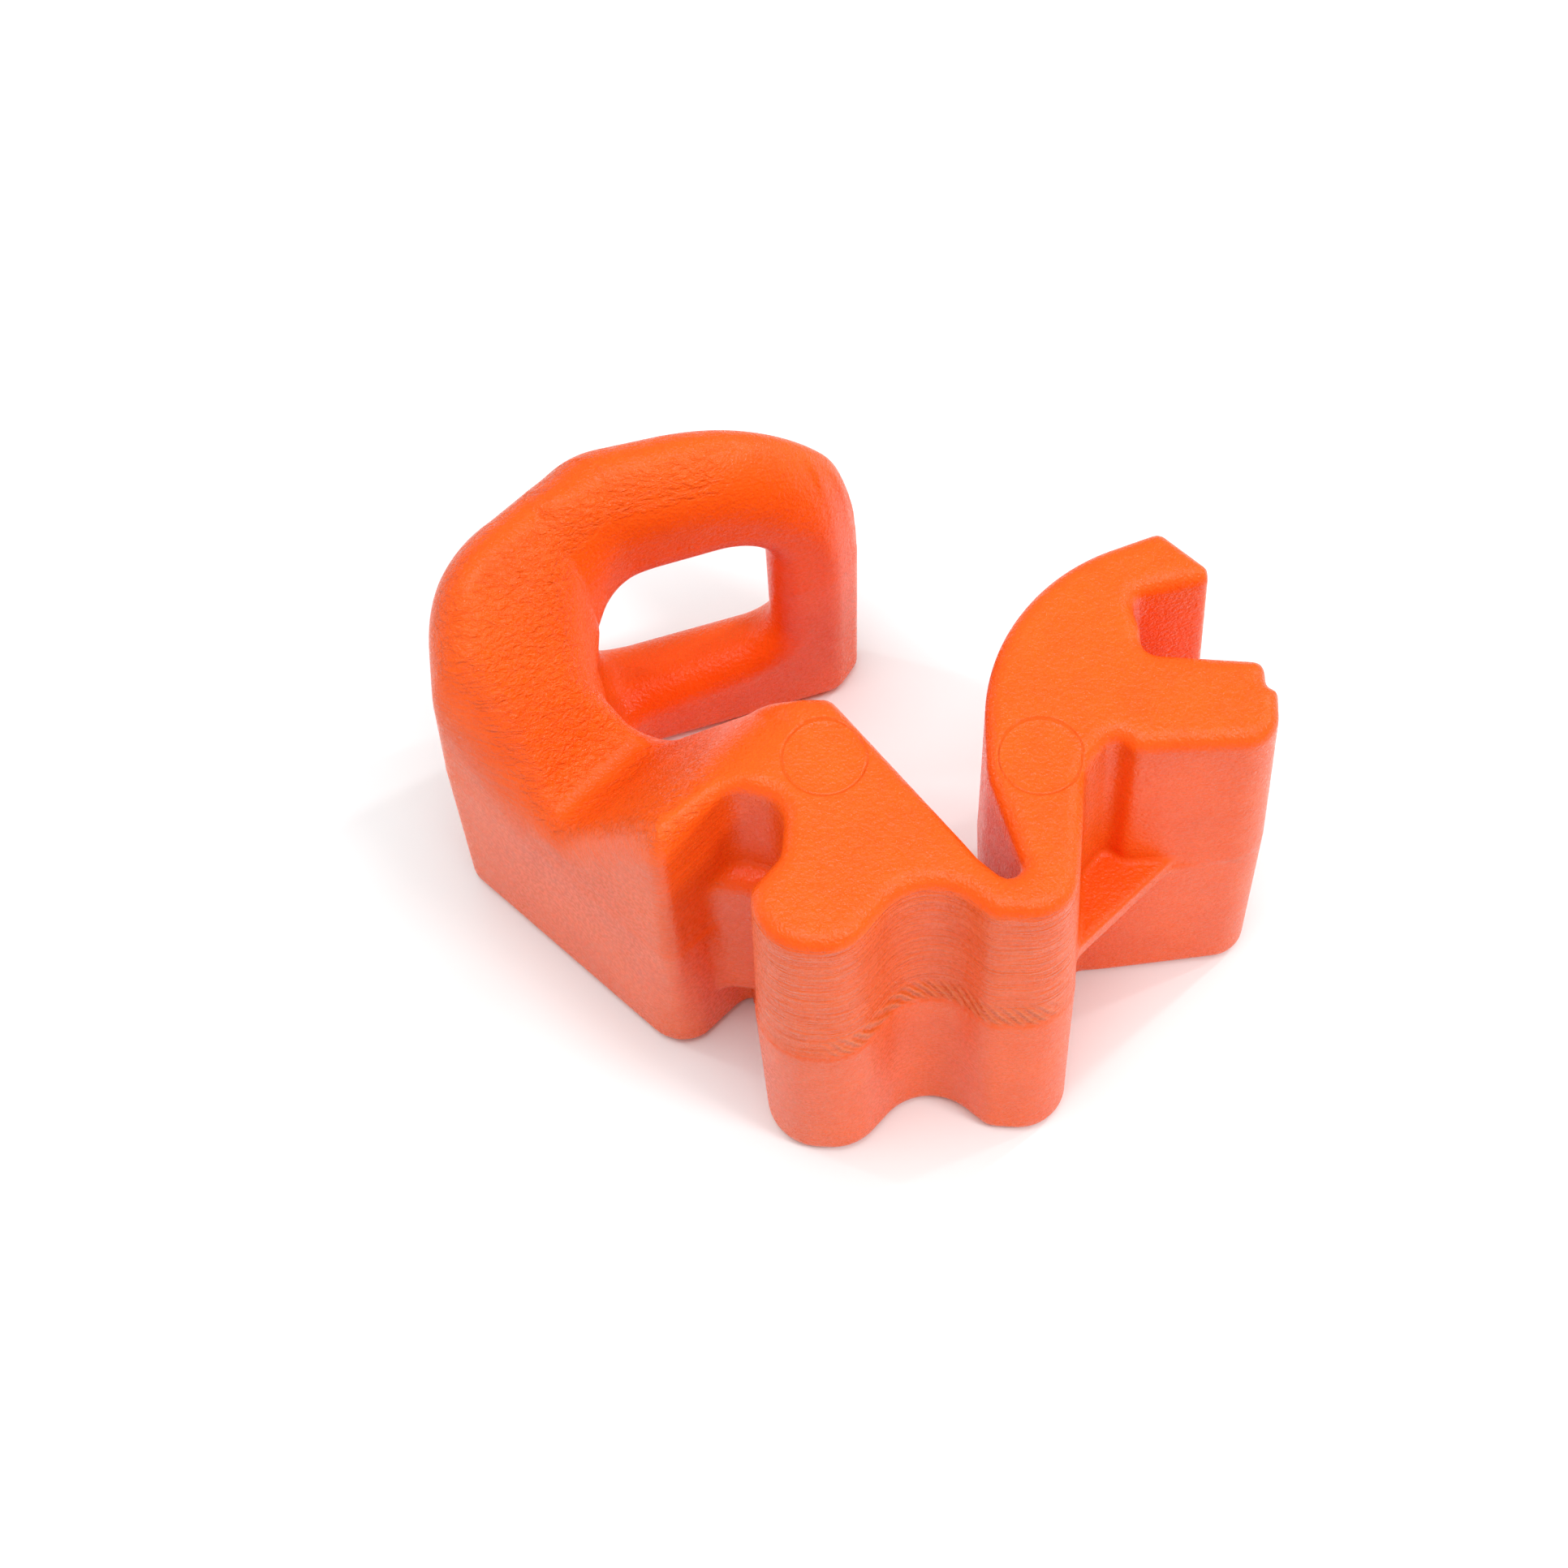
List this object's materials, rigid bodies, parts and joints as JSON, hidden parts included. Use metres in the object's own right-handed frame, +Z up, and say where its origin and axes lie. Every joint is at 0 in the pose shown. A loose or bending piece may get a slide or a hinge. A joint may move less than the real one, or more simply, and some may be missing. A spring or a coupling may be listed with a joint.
{
  "type": "strap and rod clip",
  "caption": "Springy moulded plastic clip with a windowed strap loop, a saddle-backed hook arm, a lobed lug and a forked latch arm on a thin flexing bridge.",
  "frame": {"origin": "centre of the flat base, under the middle of the whole outline", "axes": "+Z up out of the base along the moulding's draw, +X towards the latch prongs, +Y towards the strap loop"},
  "size_m": [0.0412, 0.0304, 0.025],
  "materials": {
    "orange_plastic": "satin, fine moulded grain"
  },
  "bodies": {
    "clip_body": {"centre_lug": "orange_plastic", "flex_bridge": "orange_plastic", "hook_arm": "orange_plastic", "slot_web": "orange_plastic", "loop_shoulder": "orange_plastic", "loop_top_bar": "orange_plastic", "loop_bottom_bar": "orange_plastic", "loop_end_post": "orange_plastic"},
    "latch": {"latch_arm": "orange_plastic", "corner_web": "orange_plastic", "latch_head": "orange_plastic", "upper_prong": "orange_plastic", "right_prong": "orange_plastic"}
  },
  "joints": [
    {"name": "latch_flex", "type": "hinge", "parent": "clip_body", "child": "latch", "pos_m": [0.00822, -0.01249, 0.0125], "axis": [0, 0, 1], "range_deg": [-8, 6], "stiffness_Nm_per_rad": 1.2}
  ]
}
